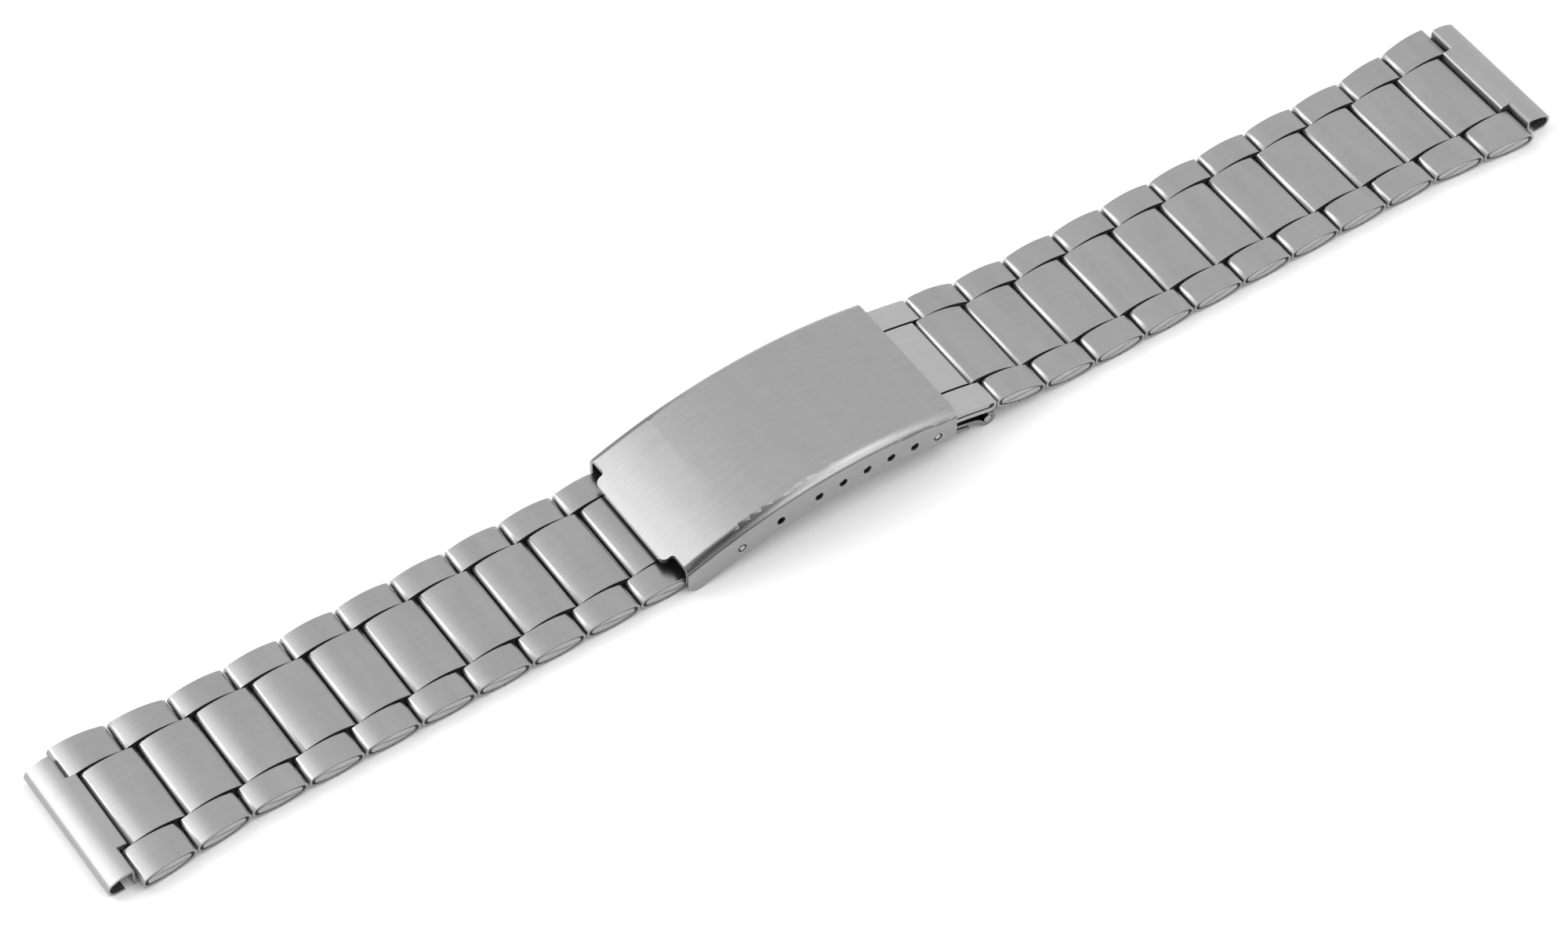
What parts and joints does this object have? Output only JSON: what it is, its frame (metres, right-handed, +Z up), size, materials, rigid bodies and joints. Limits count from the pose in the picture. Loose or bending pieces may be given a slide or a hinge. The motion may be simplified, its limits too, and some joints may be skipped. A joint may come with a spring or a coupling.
{
  "type": "link watch bracelet",
  "caption": "Brushed steel watch bracelet of folded links, laid flat, with a folding clasp closed at its middle.",
  "frame": {"origin": "middle of the bracelet's bounding box, on the surface that it lies on", "axes": "+X along the bracelet towards the adjuster side, +Y across it to the back, +Z up out of the clasp cover"},
  "size_m": [0.196, 0.0208, 0.0082],
  "materials": {
    "brushed_steel": "brushed",
    "polished_steel": "polished",
    "sheet_steel": "satin"
  },
  "bodies": {
    "clasp": {"clasp_cover": "brushed_steel", "clasp_hinge_pin": "sheet_steel"},
    "upper_leaf": {"middle_blade": "sheet_steel", "blade_hinge_pin": "sheet_steel"},
    "lower_leaf": {"inner_blade": "sheet_steel", "clasp_end_bar": "sheet_steel"},
    "link_L10": {"link_L10_sleeves": "brushed_steel", "link_L10_core": "polished_steel"},
    "link_L09": {"link_L09_sleeves": "brushed_steel", "link_L09_core": "polished_steel"},
    "link_L08": {"link_L08_sleeves": "brushed_steel", "link_L08_core": "polished_steel"},
    "link_L07": {"link_L07_sleeves": "brushed_steel", "link_L07_core": "polished_steel"},
    "link_L06": {"link_L06_sleeves": "brushed_steel", "link_L06_core": "polished_steel"},
    "link_L05": {"link_L05_sleeves": "brushed_steel", "link_L05_core": "polished_steel"},
    "link_L04": {"link_L04_sleeves": "brushed_steel", "link_L04_core": "polished_steel"},
    "link_L03": {"link_L03_sleeves": "brushed_steel", "link_L03_core": "polished_steel"},
    "link_L02": {"link_L02_sleeves": "brushed_steel", "link_L02_core": "polished_steel"},
    "link_L01": {"link_L01_sleeves": "brushed_steel", "link_L01_core": "polished_steel"},
    "left_end": {"end_piece_left": "brushed_steel"},
    "link_R01": {"link_R01_sleeves": "brushed_steel", "link_R01_core": "polished_steel", "adjuster_bar_tube": "sheet_steel", "adjuster_bar_spring": "sheet_steel"},
    "link_R02": {"link_R02_sleeves": "brushed_steel", "link_R02_core": "polished_steel"},
    "link_R03": {"link_R03_sleeves": "brushed_steel", "link_R03_core": "polished_steel"},
    "link_R04": {"link_R04_sleeves": "brushed_steel", "link_R04_core": "polished_steel"},
    "link_R05": {"link_R05_sleeves": "brushed_steel", "link_R05_core": "polished_steel"},
    "link_R06": {"link_R06_sleeves": "brushed_steel", "link_R06_core": "polished_steel"},
    "link_R07": {"link_R07_sleeves": "brushed_steel", "link_R07_core": "polished_steel"},
    "link_R08": {"link_R08_sleeves": "brushed_steel", "link_R08_core": "polished_steel"},
    "link_R09": {"link_R09_sleeves": "brushed_steel", "link_R09_core": "polished_steel"},
    "link_R10": {"link_R10_sleeves": "brushed_steel", "link_R10_core": "polished_steel"},
    "link_R11": {"link_R11_sleeves": "brushed_steel", "link_R11_core": "polished_steel"},
    "link_R12": {"link_R12_sleeves": "brushed_steel", "link_R12_core": "polished_steel"},
    "right_end": {"end_piece_right": "brushed_steel"},
    "tip_front": {"adjuster_tip_front": "sheet_steel"},
    "tip_back": {"adjuster_tip_back": "sheet_steel"}
  },
  "joints": [
    {"name": "clasp_fold", "type": "hinge", "parent": "clasp", "child": "upper_leaf", "pos_m": [-0.01809, 0, 0.00314], "axis": [0, -1, 0], "range_deg": [-170, 0]},
    {"name": "blade_fold", "type": "hinge", "parent": "upper_leaf", "child": "lower_leaf", "pos_m": [0.01611, 0, 0.00098], "axis": [0, -1, 0], "range_deg": [0, 170]},
    {"name": "bend_L10", "type": "hinge", "parent": "lower_leaf", "child": "link_L10", "pos_m": [-0.0233, 0, 0.00115], "axis": [0, -1, 0], "range_deg": [-4, 18]},
    {"name": "bend_L09", "type": "hinge", "parent": "link_L10", "child": "link_L09", "pos_m": [-0.03036, 0, 0.00115], "axis": [0, -1, 0], "range_deg": [-10, 18]},
    {"name": "bend_L08", "type": "hinge", "parent": "link_L09", "child": "link_L08", "pos_m": [-0.03741, 0, 0.00115], "axis": [0, -1, 0], "range_deg": [-10, 18]},
    {"name": "bend_L07", "type": "hinge", "parent": "link_L08", "child": "link_L07", "pos_m": [-0.04447, 0, 0.00115], "axis": [0, -1, 0], "range_deg": [-10, 18]},
    {"name": "bend_L06", "type": "hinge", "parent": "link_L07", "child": "link_L06", "pos_m": [-0.05153, 0, 0.00115], "axis": [0, -1, 0], "range_deg": [-10, 18]},
    {"name": "bend_L05", "type": "hinge", "parent": "link_L06", "child": "link_L05", "pos_m": [-0.05858, 0, 0.00115], "axis": [0, -1, 0], "range_deg": [-10, 18]},
    {"name": "bend_L04", "type": "hinge", "parent": "link_L05", "child": "link_L04", "pos_m": [-0.06564, 0, 0.00115], "axis": [0, -1, 0], "range_deg": [-10, 18]},
    {"name": "bend_L03", "type": "hinge", "parent": "link_L04", "child": "link_L03", "pos_m": [-0.0727, 0, 0.00115], "axis": [0, -1, 0], "range_deg": [-10, 18]},
    {"name": "bend_L02", "type": "hinge", "parent": "link_L03", "child": "link_L02", "pos_m": [-0.07976, 0, 0.00115], "axis": [0, -1, 0], "range_deg": [-10, 18]},
    {"name": "bend_L01", "type": "hinge", "parent": "link_L02", "child": "link_L01", "pos_m": [-0.08681, 0, 0.00115], "axis": [0, -1, 0], "range_deg": [-10, 18]},
    {"name": "bend_left_end", "type": "hinge", "parent": "link_L01", "child": "left_end", "pos_m": [-0.09387, 0, 0.00115], "axis": [0, -1, 0], "range_deg": [-10, 18]},
    {"name": "bend_R01", "type": "hinge", "parent": "clasp", "child": "link_R01", "pos_m": [0.00834, 0, 0.00419], "axis": [0, 1, 0], "range_deg": [-15, 0]},
    {"name": "bend_R02", "type": "hinge", "parent": "link_R01", "child": "link_R02", "pos_m": [0.01647, 0, 0.00341], "axis": [0, 1, 0], "range_deg": [-8, 18]},
    {"name": "bend_R03", "type": "hinge", "parent": "link_R02", "child": "link_R03", "pos_m": [0.02333, 0, 0.00177], "axis": [0, 1, 0], "range_deg": [-1.5, 26.5]},
    {"name": "bend_R04", "type": "hinge", "parent": "link_R03", "child": "link_R04", "pos_m": [0.03036, 0, 0.00115], "axis": [0, 1, 0], "range_deg": [-5, 23]},
    {"name": "bend_R05", "type": "hinge", "parent": "link_R04", "child": "link_R05", "pos_m": [0.03741, 0, 0.00115], "axis": [0, 1, 0], "range_deg": [-10, 18]},
    {"name": "bend_R06", "type": "hinge", "parent": "link_R05", "child": "link_R06", "pos_m": [0.04447, 0, 0.00115], "axis": [0, 1, 0], "range_deg": [-10, 18]},
    {"name": "bend_R07", "type": "hinge", "parent": "link_R06", "child": "link_R07", "pos_m": [0.05153, 0, 0.00115], "axis": [0, 1, 0], "range_deg": [-10, 18]},
    {"name": "bend_R08", "type": "hinge", "parent": "link_R07", "child": "link_R08", "pos_m": [0.05858, 0, 0.00115], "axis": [0, 1, 0], "range_deg": [-10, 18]},
    {"name": "bend_R09", "type": "hinge", "parent": "link_R08", "child": "link_R09", "pos_m": [0.06564, 0, 0.00115], "axis": [0, 1, 0], "range_deg": [-10, 18]},
    {"name": "bend_R10", "type": "hinge", "parent": "link_R09", "child": "link_R10", "pos_m": [0.0727, 0, 0.00115], "axis": [0, 1, 0], "range_deg": [-10, 18]},
    {"name": "bend_R11", "type": "hinge", "parent": "link_R10", "child": "link_R11", "pos_m": [0.07976, 0, 0.00115], "axis": [0, 1, 0], "range_deg": [-10, 18]},
    {"name": "bend_R12", "type": "hinge", "parent": "link_R11", "child": "link_R12", "pos_m": [0.08681, 0, 0.00115], "axis": [0, 1, 0], "range_deg": [-10, 18]},
    {"name": "bend_right_end", "type": "hinge", "parent": "link_R12", "child": "right_end", "pos_m": [0.09387, 0, 0.00115], "axis": [0, 1, 0], "range_deg": [-10, 18]},
    {"name": "tip_front_press", "type": "slide", "parent": "link_R01", "child": "tip_front", "axis": [0, 1, 0], "range_m": [0, 0.0008], "stiffness_N_per_m": 150, "springref_m": -0.001, "deforming": ["adjuster_bar_spring"]},
    {"name": "tip_back_press", "type": "slide", "parent": "link_R01", "child": "tip_back", "axis": [0, -1, 0], "range_m": [0, 0.0008], "stiffness_N_per_m": 150, "springref_m": -0.001}
  ],
  "couplings": [
    {"joint": "blade_fold", "follows": "clasp_fold", "ratio": -1}
  ]
}
